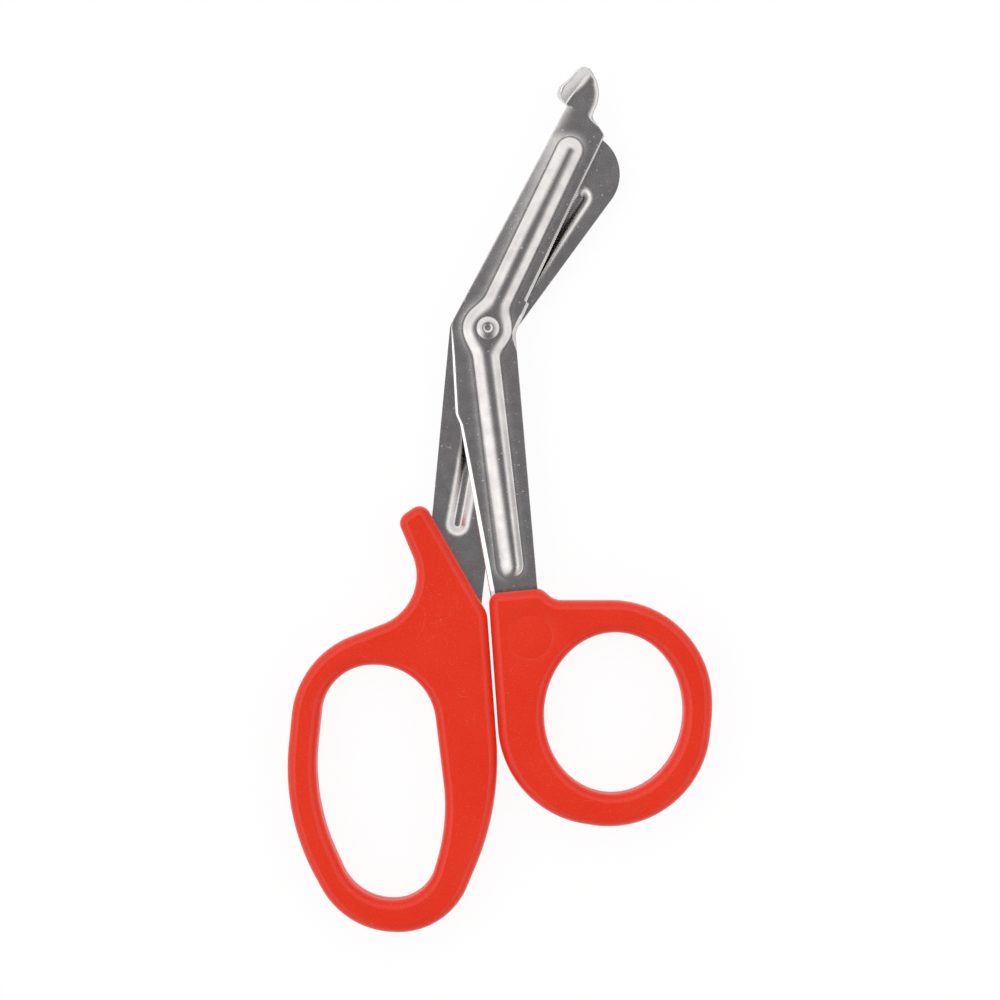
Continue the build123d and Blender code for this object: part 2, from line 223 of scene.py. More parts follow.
class BladeSettings(bpy.types.PropertyGroup):
    """Sizes of the pressed blades and the colour of their steel."""

    sheet: length_setting("Sheet", "Thickness of the steel sheet", 0.0015)
    gap: length_setting("Gap", "Gap between the two blades' inner faces", 0.0001)
    rib_height: length_setting("Rib height", "Height that the rib is pressed out", 0.00125)
    rib_foot: length_setting("Rib foot", "Half the rib's width at its foot", 0.0029)
    crest_edge: length_setting("Crest edge", "Where the crest's rounding ends in the wall", 0.0017)
    ledge: length_setting("Ledge", "Width of the easier slope just above the foot", 0.0003)
    lead_in: length_setting("Lead-in", "Reach of the faint rise before the foot", 0.0022)
    boss_foot: length_setting("Boss foot", "Radius of the boss round the pivot at its foot", 0.0053)
    boss_blend: length_setting("Boss blend", "Reach of the blend between boss and ribs", 0.0025)
    hollow_floor: length_setting("Hollow floor", "Half the width of the hollow's floor", 0.0007)
    hollow_wall: length_setting("Hollow wall", "Width of the hollow's steep wall", 0.00095)
    hollow_rim: length_setting("Hollow rim", "Where the hollow's soft shoulder ends", 0.0032)
    spine_roll: length_setting("Spine roll", "Width of the fall towards the spine", 0.0026)
    spine_fall: length_setting("Spine fall", "Depth of the fall towards the spine", 0.00036)
    tooth_pitch: length_setting("Tooth pitch", "Spacing of the fine teeth on the edge", 0.0005)
    tooth_depth: length_setting("Tooth depth", "Depth of the fine teeth on the edge", 0.00014)
    bevel: length_setting("Bevel", "Width of the ground bevel at the heel of the cutting edge", 0.00058)
    shoe_angle: angle_setting("Shoe angle", "Angle that the shoe is bent up by", 55.0)
    shoe_bend: length_setting("Shoe bend", "Inside radius of the shoe's bend", 0.0009)
    shoe_width: length_setting("Shoe width", "Width of the shoe beyond its bend", 0.00315)
    shoe_corner: length_setting("Shoe corner", "Radius of the shoe's corners", 0.003)
    steel: colour_setting("Steel", "Colour of the tumbled steel", (0.60, 0.585, 0.58))


class HandleSettings(bpy.types.PropertyGroup):
    """Sizes of the moulded handles and the colour of their plastic."""

    edge_width: length_setting("Edge width", "Width of the rounded outer edge", 0.002)
    hole_edge_width: length_setting("Hole edge width", "Width of the rounded edge of a hole", 0.00198)
    crease_angle: angle_setting("Crease", "Angle at which the rounded edge leaves the flat face", 18.0)
    crease_round: length_setting("Crease round", "Small radius along the crease", 0.0006)
    seam: length_setting("Seam", "Height of the mould's seam round the edge", 0.00005)
    ejector_radius: length_setting("Ejector mark", "Radius of the ejector's round mark", 0.0049)
    ejector_depth: length_setting("Ejector depth", "Depth of the ejector's round mark", 0.00006)
    plastic: colour_setting("Plastic", "Colour of the moulded plastic", (0.93, 0.039, 0.013))


class StageSettings(bpy.types.PropertyGroup):
    """Camera, floor and light."""

    camera_height: length_setting("Camera height", "Height of the overhead camera", 0.48)
    pixel: length_setting("Pixel", "Size of one pixel of the picture on the object", 0.000219)
    floor: colour_setting("Floor", "Colour of the floor", (0.9, 0.9, 0.9))
    bright_sky: colour_setting("Bright sky", "Light from the pale walls", (1.5, 1.475, 1.45), most=4.0)
    dark_sky: colour_setting("Dark sky", "Light from the dark ceiling", (0.195, 0.19, 0.2))


def unit(vectors):
    """Vectors scaled to length one along their last axis."""
    return vectors / np.linalg.norm(vectors, axis=-1, keepdims=True)


def smooth(x):
    """Ease from 0 to 1 with level ends: 3x squared less 2x cubed, held outside."""
    x = np.clip(x, 0.0, 1.0)
    return x * x * (3.0 - 2.0 * x)


def rounded_path(corners, closed):
    """Plan curve in metres of straight runs joined by arcs, from corners of x, y and radius in mm.

    At a corner that turns by a, the arc of radius r begins r tan(a/2) before it and ends as far after it.
    """
    table = np.array(corners, float) * MM
    points, radii = table[:, :2], table[:, 2].copy()
    if not closed:
        radii[[0, -1]] = 0.0
    back = unit(np.roll(points, 1, axis=0) - points)
    on = unit(np.roll(points, -1, axis=0) - points)
    turn = np.pi - np.arccos(np.clip((back * on).sum(-1), -1.0, 1.0))
    side = np.sign(back[:, 1] * on[:, 0] - back[:, 0] * on[:, 1])
    start = points + back * (radii * np.tan(turn / 2))[:, None]
    centre = start + np.stack([back[:, 1], -back[:, 0]], axis=-1) * (side * radii)[:, None]
    angle = np.linspace(0.0, 1.0, ARC_POINTS) * (side * turn)[:, None]
    arm = (start - centre)[:, None, :]
    arcs = np.stack([
        arm[..., 0] * np.cos(angle) - arm[..., 1] * np.sin(angle),
        arm[..., 0] * np.sin(angle) + arm[..., 1] * np.cos(angle),
    ], axis=-1) + centre[:, None, :]
    path = arcs.reshape(-1, 2)
    if closed:
        path = np.vstack([path, path[:1]])
    fresh = np.hypot(*np.diff(path, axis=0).T) > SAME_POINT
    return path[np.concatenate([[True], fresh])]


def ellipse_path(centre, radii, tilt):
    """Closed plan curve in metres: centre plus the turned point (a cos t, b sin t)."""
    t = np.linspace(0.0, 2.0 * np.pi, ELLIPSE_POINTS)
    x, y = radii[0] * np.cos(t), radii[1] * np.sin(t)
    turned = np.stack([x * np.cos(tilt) - y * np.sin(tilt), x * np.sin(tilt) + y * np.cos(tilt)], axis=-1)
    return (turned + np.array(centre)) * MM


def travel(path):
    """Distance along a plan curve at each of its points."""
    return np.concatenate([[0.0], np.cumsum(np.hypot(*np.diff(path, axis=0).T))])


def walk(path, distance):
    """Points of a plan curve at the given distances along it."""
    run = travel(path)
    return np.stack([np.interp(distance, run, path[:, 0]), np.interp(distance, run, path[:, 1])], axis=-1)


def distance_at(path, point):
    """Distance along a plan curve in metres at the place nearest to a point in mm."""
    run = np.linspace(0.0, travel(path)[-1], SEARCH_POINTS)
    gap = walk(path, run) - np.array(point) * MM
    return run[np.argmin((gap * gap).sum(-1))]


def grid_faces(rows, columns, ring):
    """Corners of the quads between neighbouring points of a grid; a ring is closed across its columns."""
    across = columns if ring else columns - 1
    i, j = np.meshgrid(np.arange(rows - 1), np.arange(across), indexing="ij")
    k = (j + 1) % columns
    return np.stack([i * columns + j, i * columns + k, (i + 1) * columns + k, (i + 1) * columns + j], axis=-1)


def new_piece(name, points, faces, marks):
    """Welded mesh under edit, from points and faces; marks give each point named numbers for the material."""
    mesh = bpy.data.meshes.new(name)
    mesh.from_pydata(points.reshape(-1, 3), [], [face for group in faces for face in group])
    for mark, values in marks.items():
        mesh.attributes.new(mark, "FLOAT", "POINT").data.foreach_set("value", values.ravel())
    solid = bmesh.new()
    solid.from_mesh(mesh)
    bmesh.ops.remove_doubles(solid, verts=solid.verts, dist=WELD)
    bmesh.ops.dissolve_degenerate(solid, edges=solid.edges, dist=SLIVER)
    bmesh.ops.delete(solid, geom=[vert for vert in solid.verts if not vert.link_faces], context="VERTS")
    return solid, mesh


def finish_piece(solid, mesh, material, sharp_degrees):
    """Turns the normals outwards, shades the piece smooth except at edges over the sharp angle, links it."""
    bmesh.ops.recalc_face_normals(solid, faces=solid.faces)
    solid.to_mesh(mesh)
    solid.free()
    mesh.polygons.foreach_set("use_smooth", np.ones(len(mesh.polygons), bool))
    mesh.set_sharp_from_angle(angle=math.radians(sharp_degrees))
    mesh.materials.append(material)
    piece = bpy.data.objects.new(mesh.name, mesh)
    bpy.context.scene.collection.objects.link(piece)
    return piece


def edge_section(width, settings):
    """Section of a moulded edge from the top face round to the bottom: rows of inset and height.

    The slope grows from level to upright; the inset shrinks by R d(sin) and the height by R d(cos), with the
    crease's small radius up to the crease angle and one radius from there on, so that the width is used up.
    """
    crease, small = settings.crease_angle, settings.crease_round
    large = (width - small * math.sin(crease)) / (1.0 - math.sin(crease))
    rounding = np.linspace(crease, math.pi / 2, EDGE_STEPS + 1)
    slope = np.concatenate([np.linspace(0.0, crease, CREASE_STEPS + 1), rounding[1:]])
    radius = np.repeat([small, large], [CREASE_STEPS, EDGE_STEPS])
    inset = np.concatenate([[0.0], np.cumsum(radius * np.diff(np.sin(slope)))])
    drop = np.concatenate([[0.0], np.cumsum(-radius * np.diff(np.cos(slope)))])
    seam = settings.seam
    upper = np.stack([width + seam - inset, HANDLE_TOP - drop], axis=-1)
    border = np.array([[width + seam + LEVEL_BORDER, HANDLE_TOP]])
    lip = np.array([[seam, MID_PLANE + 3 * seam], [0.0, MID_PLANE + seam]])
    half = np.vstack([border, upper, lip])
    lower = half[::-1] * [1.0, -1.0] + [0.0, HANDLE_TOP]
    return np.vstack([half, lower])


def rim(path, count, section, side):
    """Section carried along a closed plan curve.

    P(u) less side times inset(v) times the outward normal N(u), at the section's height(v).
    """
    run = travel(path)[-1]
    u = np.arange(count) * run / count
    nudge = run * 1e-5
    tangent = unit(walk(path, (u + nudge) % run) - walk(path, (u - nudge) % run))
    normal = np.stack([tangent[:, 1], -tangent[:, 0]], axis=-1)
    plan = walk(path, u)[None] - side * section[:, :1, None] * normal[None]
    height = np.broadcast_to(section[:, 1, None, None], plan.shape[:2] + (1,))
    return np.concatenate([plan, height], axis=-1)


def anticlockwise(path):
    """The same closed plan curve, going round to the left."""
    x, y = path[:, 0], path[:, 1]
    area = (x[:-1] * y[1:] - x[1:] * y[:-1]).sum()
    return path if area > 0 else path[::-1]


def level_face(points, rings):
    """Triangles of the level face inside the first ring and outside the rest; all are numbers of points.

    The other rings are convex, so the triangles inside one are those with all corners on it.
    """
    numbers = np.concatenate(rings)
    edges, owner = [], []
    for which, ring in enumerate(rings):
        turn = np.arange(len(ring))
        edges += (len(owner) + np.stack([turn, (turn + 1) % len(ring)], axis=-1)).tolist()
        owner += [which] * len(ring)
    plan = [mathutils.Vector(point) for point in (points[numbers, :2] / MM).tolist()]
    inside_only, same_mm = 1, 1e-6
    made = mathutils.geometry.delaunay_2d_cdt(plan, edges, [], inside_only, same_mm)
    origins = [source[0] for source in made[3]]
    triangles = [[origins[corner] for corner in triangle] for triangle in made[2]]
    return [
        [int(numbers[corner]) for corner in triangle] for triangle in triangles
        if len({owner[corner] for corner in triangle}) > 1 or owner[triangle[0]] == 0
    ]


def recess(centre, settings):
    """Round recess in the top face: circles of given radius and share of depth, the last at the middle."""
    radius = settings.ejector_radius
    inset = np.array([0.0, 0.04, 0.12, 0.3, 0.5]) * MM
    reach = np.concatenate([radius - inset, [0.6 * radius, 0.0]])[:, None]
    share = np.array([0.0, 0.3, 1.0, 1.0, 0.5, 0.5, 0.5])[:, None]
    t = np.arange(MARK_POINTS) * 2.0 * np.pi / MARK_POINTS
    x = centre[0] * MM + reach * np.cos(t)
    y = centre[1] * MM + reach * np.sin(t)
    z = np.broadcast_to(HANDLE_TOP - settings.ejector_depth * share, x.shape)
    return np.stack([x, y, z], axis=-1)


def moulded_handle(name, outline, hole, mark, material, settings):
    """Handle: rounded rims carried round its outline and its hole, with level faces filled in between.

    A mark, if there is one, is a shallow round recess in the top face.
    """
    grids = [
        rim(anticlockwise(outline), OUTLINE_POINTS, edge_section(settings.edge_width, settings), 1.0),
        rim(anticlockwise(hole), HOLE_POINTS, edge_section(settings.hole_edge_width, settings), -1.0),
    ]
    if mark is not None:
        grids.append(recess(mark, settings))
    points = np.concatenate([grid.reshape(-1, 3) for grid in grids])
    starts = np.cumsum([0] + [grid.shape[0] * grid.shape[1] for grid in grids])
    faces = [
        (grid_faces(grid.shape[0], grid.shape[1], True) + start).reshape(-1, 4).tolist()
        for grid, start in zip(grids, starts)
    ]
    top = [start + np.arange(grid.shape[1]) for grid, start in zip(grids, starts)]
    bottom = [stop - 1 - np.arange(grid.shape[1]) for grid, stop in zip(grids[:2], starts[1:])]
    faces += [level_face(points, top), level_face(points, bottom)]
    solid, mesh = new_piece(name, points, faces, {})
    return finish_piece(solid, mesh, material, sharp_degrees=40.0)


def rib_distance(x, y, ribs, settings, endless):
    """Distance from the ribs' centre lines and the boss, joined by a smooth minimum so that contours blend.

    smooth minimum of a and b: mix(b, a, h) - k h (1 - h), with h = 1/2 + (b - a) / 2k held in 0 to 1.
    """
    blend = settings.boss_blend
    nearest = np.hypot(x, y) - (settings.boss_foot - settings.rib_foot)
    for rib in ribs:
        ax, ay = math.sin(rib.lean), math.cos(rib.lean)
        end = np.inf if endless else rib.reach - settings.rib_foot
        along = np.clip((x - rib.start) * ax + y * ay, 0.0, end)
        gap = np.hypot(x - rib.start - along * ax, y - along * ay)
        h = np.clip(0.5 + 0.5 * (gap - nearest) / blend, 0.0, 1.0)
        nearest = gap * (1.0 - h) + nearest * h - blend * h * (1.0 - h)
    return nearest


def summed(distance, slope, height):
    """Distances, and the slope summed from the far end inwards, scaled so that the middle has the height."""
    total = np.cumsum(slope[::-1])[::-1]
    return distance, height * total / total[0]


def crest_profile(settings):
    """Heights of the pressed-out side against the distance from the rib's middle.

    The slope grows evenly over the crest's edge and stays along the wall except on the narrow ledge above the
    foot. Past the foot there is a nearly level line and then a faint lead-in that dies away.
    """
    foot = settings.rib_foot
    ledge_slope, line_slope, lead_slope = 0.62, 0.06, 0.46
    distance = np.linspace(0.0, foot + settings.lead_in, PROFILE_POINTS)
    wall = np.clip(distance / settings.crest_edge, 0.0, 1.0)
    wall = np.where(foot - distance < settings.ledge, ledge_slope, wall)
    past = (distance - foot) / settings.lead_in
    lead = np.where(past < LEVEL_LINE, line_slope, lead_slope * (1.0 - past))
    return summed(distance, np.where(past > 0.0, lead, wall), settings.rib_height)


def hollow_profile(settings):
    """Depths of the hollow side against the distance: dished floor, steep wall and a soft shoulder.

    The slope grows evenly over the floor, is even over the wall and falls evenly to nothing over the
    shoulder.
    """
    floor, rim_at = settings.hollow_floor, settings.hollow_rim
    floor_slope, wall_slope = 0.3, 0.75
    turn = floor + settings.hollow_wall
    distance = np.linspace(0.0, rim_at, PROFILE_POINTS)
    wall = wall_slope * np.clip((rim_at - distance) / (rim_at - turn), 0.0, 1.0)
    slope = np.where(distance < floor, floor_slope * distance / floor, wall)
    return summed(distance, slope, settings.rib_height)


def ridged(distance, x, y, ribs, settings):
    """Distance in which the crest strays sideways and is drawn to a ridge, while the foot stays where it is.

    A stray s moves the crest's line by s (1 - d^2 / foot^2), which is nothing at the foot. The stray grows
    evenly along the rib and the ridge over its farther part.
    """
    foot = settings.rib_foot
    ridge_from, ridge_run = 0.4, 0.52
    inside = np.clip(1.0 - (distance / foot) ** 2, 0.0, None)
    ridge = np.zeros_like(x)
    for rib in ribs:
        share = ((x - rib.start) * math.sin(rib.lean) + y * math.cos(rib.lean)) / rib.reach
        across = (x - rib.start) * math.cos(rib.lean) - y * math.sin(rib.lean)
        moved = rib.stray * np.clip(share, 0.0, 1.0) * inside
        distance = np.sqrt(np.clip(distance ** 2 - 2.0 * moved * across + moved ** 2, 0.0, None))
        ridge = ridge + rib.ridge * smooth((share - ridge_from) / ridge_run)
    return np.where(distance < foot, ridge + distance * (1.0 - ridge / foot), distance)


def contour(centre, rim_points, ribs, settings, level):
    """Share of the way from the centre to the rim at which the rib distance reaches a level, by halving."""
    low, high = np.zeros(len(centre)), np.ones(len(centre))
    for halving in range(HALVINGS):
        middle = (low + high) / 2.0
        spot = centre + (rim_points - centre) * middle[:, None]
        inside = rib_distance(spot[:, 0], spot[:, 1], ribs, settings, True) < level
        low, high = np.where(inside, middle, low), np.where(inside, high, middle)
    return (low + high) / 2.0


def blade_rows(left_corners, right_corners, stations):
    """Ends of the rows on the left and right outlines, their distances along these, and the stations' rows.

    Rows are even between the stations' pairs of points.
    """
    paths = rounded_path(left_corners, False), rounded_path(right_corners, False)
    counts = [rows for a, b, rows in stations[:-1]]
    runs = []
    for side, path in enumerate(paths):
        ends = [distance_at(path, station[side]) for station in stations]
        zones = [np.linspace(p, q, n, endpoint=False) for p, q, n in zip(ends[:-1], ends[1:], counts)]
        runs.append(np.concatenate([*zones, ends[-1:]]))
    left, right = (walk(path, run) for path, run in zip(paths, runs))
    return left, right, runs, np.cumsum([0] + counts)


def cross(a, b):
    """Cross product of plan vectors."""
    return a[..., 0] * b[..., 1] - a[..., 1] * b[..., 0]


def rib_crossing(left, way, ribs):
    """Where each row crosses the rib's centre line, and how far that is past the rib's reach.

    A row runs from its left point along its way.
    """
    spots, alongs = [], []
    for rib in ribs:
        axis, root = np.array([math.sin(rib.lean), math.cos(rib.lean)]), np.array([rib.start, 0.0])
        spots.append(left - way * (cross(left - root, axis) / cross(way, axis))[:, None])
        alongs.append(((spots[-1] - root) * axis).sum(-1))
    ahead = alongs[0] > 0
    spot = np.where(ahead[:, None], spots[0], spots[1])
    past = np.where(ahead, alongs[0] - ribs[0].reach, alongs[1] - ribs[1].reach)
    return spot, past


def columns(breaks, counts):
    """Distances across each row: every zone between two breaks is cut evenly into its count."""
    zones = [
        first[:, None] + (last - first)[:, None] * np.linspace(0.0, 1.0, count, endpoint=False)
        for first, last, count in zip(breaks[:-1], breaks[1:], counts)
    ]
    return np.concatenate(zones + [breaks[-1][:, None]], axis=1)


def blade_grid(left, right, ribs, settings, edges, counts, roll, lift):
    """Closed rings across a pressed blade, with its inner face at height 0 and its rib up, and ground marks
    that also paint highlights.

    A row runs straight from the left outline to the right one; the last, at the tip, has no length and takes
    the way of the row before. Its upper side is the sheet plus the crest profile, its lower side the
    hollow's, and each edge is a fan of points between them. Rows keep columns on the lines along the rib's
    foot above and along the hollow's floor below, so these lines stay crisp.
    """
    left_edge, right_edge = edges
    way = right - left
    width = np.linalg.norm(way, axis=-1)
    way[-1] = way[-2]
    way = unit(way)
    spot, past = rib_crossing(left, way, ribs)
    ease = smooth(past / RIB_END_EASE)
    crest, hollow = crest_profile(settings), hollow_profile(settings)

    def breaks(levels, zones, first, last):
        """Rim, contours and rim as distances across each row; past the rib they ease to even columns."""
        least_zone = 0.012
        centre = ((spot - left) * way).sum(-1)
        one = [centre * (1.0 - contour(spot, left, ribs, settings, level)) for level in levels]
        rest = width - centre
        two = [centre + rest * contour(spot, right, ribs, settings, level) for level in levels[::-1]]
        span = width - first - last
        even = np.cumsum(zones)[:-1] / sum(zones)
        low = np.arange(1, len(even) + 1) * least_zone
        high = 1.0 - low[::-1]
        inner = []
        for line, share, least, most in zip(one + two, even, low, high):
            eased = line * (1.0 - ease) + (first + span * share) * ease
            inner.append(np.clip(eased, first + span * least, first + span * most))
        return [first, *inner, width - last]

    def place(across):
        """Plan points at distances across the rows."""
        return left[:, None] + way[:, None] * across[..., None]

    def pressed(across, profile):
        """Height of a profile at distances across the rows."""
        x, y = np.moveaxis(place(across), -1, 0)
        distance = ridged(rib_distance(x, y, ribs, settings, False), x, y, ribs, settings)
        return np.interp(distance, *profile, right=0.0)

    def upper(across):
        """Height of the upper side."""
        return settings.sheet + pressed(across, crest) + lift(across) - roll(across)

    def lower(across):
        """Height of the lower side."""
        return pressed(across, hollow) + lift(across)

    def fan(edge, on_right):
        """Distance across, height and ground mark of an edge's points between the two sides."""
        inset, share, mark = (part[:, 1:-1] for part in edge)
        across = width[:, None] - inset if on_right else inset
        base = lower(across)
        return across, base + share * (upper(across) - base), mark

    foot = settings.rib_foot
    foot_lines = (foot + LEVEL_LINE * settings.lead_in, foot, foot - settings.ledge)
    top = columns(breaks(foot_lines, counts[0], left_edge[0][:, 0], right_edge[0][:, 0]), counts[0])
    floor_lines = (settings.hollow_floor + settings.hollow_wall, settings.hollow_floor)
    bottom = columns(breaks(floor_lines, counts[1], left_edge[0][:, -1], right_edge[0][:, -1]), counts[1])
    bottom = bottom[:, ::-1]
    right_fan = fan(right_edge, True)
    left_fan = [part[:, ::-1] for part in fan(left_edge, False)]
    across = np.concatenate([top, right_fan[0], bottom, left_fan[0]], axis=1)
    height = np.concatenate([upper(top), right_fan[1], lower(bottom), left_fan[1]], axis=1)
    ground = np.concatenate([np.zeros_like(top), right_fan[2], np.zeros_like(bottom), left_fan[2]], axis=1)
    return np.concatenate([place(across), height[..., None]], axis=-1), ground


def bevelled_edge(width, slope, low_round, ground, settings):
    """Fan of an edge: a bevel of the given width and slope, an upright side and a small round at its foot.

    Gives the inset and the share of the sheet's height at each point, and the ground mark on the bevel, which
    is partly its ground finish and partly a painted highlight.
    """
    down = np.array([0.0, 0.05, 0.28, 0.5, 0.72, 0.93, 1.08])
    fall = (width * slope / settings.sheet)[:, None]
    bevel = 1.0 - fall * down
    side = bevel[:, -1:] * [0.6, 0.2] + [0.04, 0.12]
    foot = np.broadcast_to([0.05, 0.0], (len(width), 2))
    inset = np.concatenate([
        width[:, None] * [1.0, 0.94, 0.72, 0.5, 0.28, 0.07, 0.0],
        np.zeros((len(width), 2)),
        low_round[:, None] * [0.3, 1.0],
    ], axis=1)
    mark = ground[:, None] * [0.0, 1.0, 1.0, 1.0, 1.0, 1.0, 0.6, 0.0, 0.0, 0.0, 0.0]
    return inset, np.concatenate([bevel, side, foot], axis=1), mark


def shoe_flap(foot, lift, tilt, settings):
    """Shoe: from the fold the sheet's two faces turn up through arcs to the shoe angle and then run straight.

    foot holds the fold's points. Along each, a face's slope goes from the fold's tilt to the shoe angle round
    its own radius, and the straight run is as long as the shoe's width, less at its rounded corners. Rings
    run up the inner face, round the free edge and down the outer face.
    """
    bend_points, run_points, edge_points = 10, 12, 9
    bulge = 0.4 * MM
    axis = unit(foot[-1] - foot[0])
    out = np.array([-axis[1], axis[0]])
    along = (foot - foot[0]) @ axis
    to_end = np.minimum(along, along[-1] - along)
    corner = settings.shoe_corner
    short = corner - np.sqrt(np.clip(corner ** 2 - np.clip(corner - to_end, 0.0, None) ** 2, 0.0, None))
    ahead = np.array([math.cos(settings.shoe_angle), math.sin(settings.shoe_angle)])
    straight = settings.shoe_width - short - lift / ahead[1]
    angle = tilt[:, None] + (settings.shoe_angle - tilt)[:, None] * np.linspace(0.0, 1.0, bend_points)
    run = straight[:, None] * np.linspace(0.0, 1.0, run_points)[1:]
    faces = []
    for radius, start in ((settings.shoe_bend, settings.sheet), (settings.shoe_bend + settings.sheet, 0.0)):
        reach = radius * (np.sin(angle) - np.sin(tilt)[:, None])
        rise = radius * (np.cos(tilt)[:, None] - np.cos(angle)) + start + lift[:, None]
        reach = np.concatenate([reach, reach[:, -1:] + run * ahead[0]], axis=1)
        rise = np.concatenate([rise, rise[:, -1:] + run * ahead[1]], axis=1)
        faces.append(np.stack([reach, rise], axis=-1))
    inner, outer = faces
    t = np.linspace(0.0, np.pi, edge_points)[1:-1, None]
    middle, arm = (inner[:, -1] + outer[:, -1]) / 2, (inner[:, -1] - outer[:, -1]) / 2
    edge = middle[:, None] + arm[:, None] * np.cos(t) + ahead * bulge * np.sin(t)
    section = np.concatenate([inner, edge, outer[:, ::-1]], axis=1)
    plan = foot[:, None] + out * section[..., :1]
    return np.concatenate([plan, section[..., 1:]], axis=-1)


def along_y(points, *knots):
    """Number for each row's point, drawn straight between knots of height in mm up the blade and number."""
    heights, numbers = zip(*knots)
    return np.interp(points[:, 1] / MM, heights, numbers)


def tooth_wave(run, up, settings):
    """Share of the tooth depth along the edge: a triangle wave, plain midway and faint at both ends."""
    faint = 0.15
    wave = 1.0 - np.abs(2.0 * (run / settings.tooth_pitch % 1.0) - 1.0)
    plain = smooth((up - TEETH_FROM) / TEETH_FADE) * smooth((TEETH_TO - up) / TEETH_FADE)
    return wave * (faint + (1.0 - faint) * plain)


def shoe_edges(left, right, width, below_fold, teeth, cutting, settings):
    """Fans of the shoe blade's edges: a strip along the shank's left, and the cutting edge's ground bevel,
    both with a painted highlight.
    """
    strip = MM * along_y(
        left, (-58.0, 1.1), (-30.0, 0.75), (-20.0, 0.5), (-6.0, 0.45), (-1.0, 0.3), (1.0, 0.08))
    # Only the shank's strip carries the ground mark: a painted highlight along its left edge.
    on_shank = 1.0 - smooth((left[:, 1] / MM - SHANK_END) / SHANK_EASE)
    strip_slope = np.full(len(left), 0.5)
    low_round = 0.1 * MM
    left_edge = bevelled_edge(strip * below_fold, strip_slope, low_round * below_fold, on_shank, settings)

    narrowing = np.clip(width / NARROW_TIP, 0.0, 1.0)
    heel_bevel = settings.bevel / MM
    bevel = MM * along_y(
        right, (-5.0, 0.06), (-2.5, 0.8), (2.0, 0.8), (3.0, heel_bevel), (6.0, heel_bevel), (42.0, 0.3),
        (44.0, 0.1))
    slope = along_y(right, (-5.0, 0.5), (-2.5, 0.42), (2.0, 0.42), (3.0, 0.84), (42.0, 0.84), (44.0, 0.5))
    # Ground mark on the cutting bevel: its ground finish and a painted highlight, broken up by the teeth.
    ground = along_y(right, (2.0, 0.0), (3.0, 1.0), (42.0, 0.8), (43.5, 0.0)) * (1.0 - TOOTH_HIGHLIGHT_BREAK * teeth)
    right_edge = bevelled_edge(bevel * narrowing, slope, low_round * narrowing * ~cutting, ground, settings)
    return left_edge, right_edge


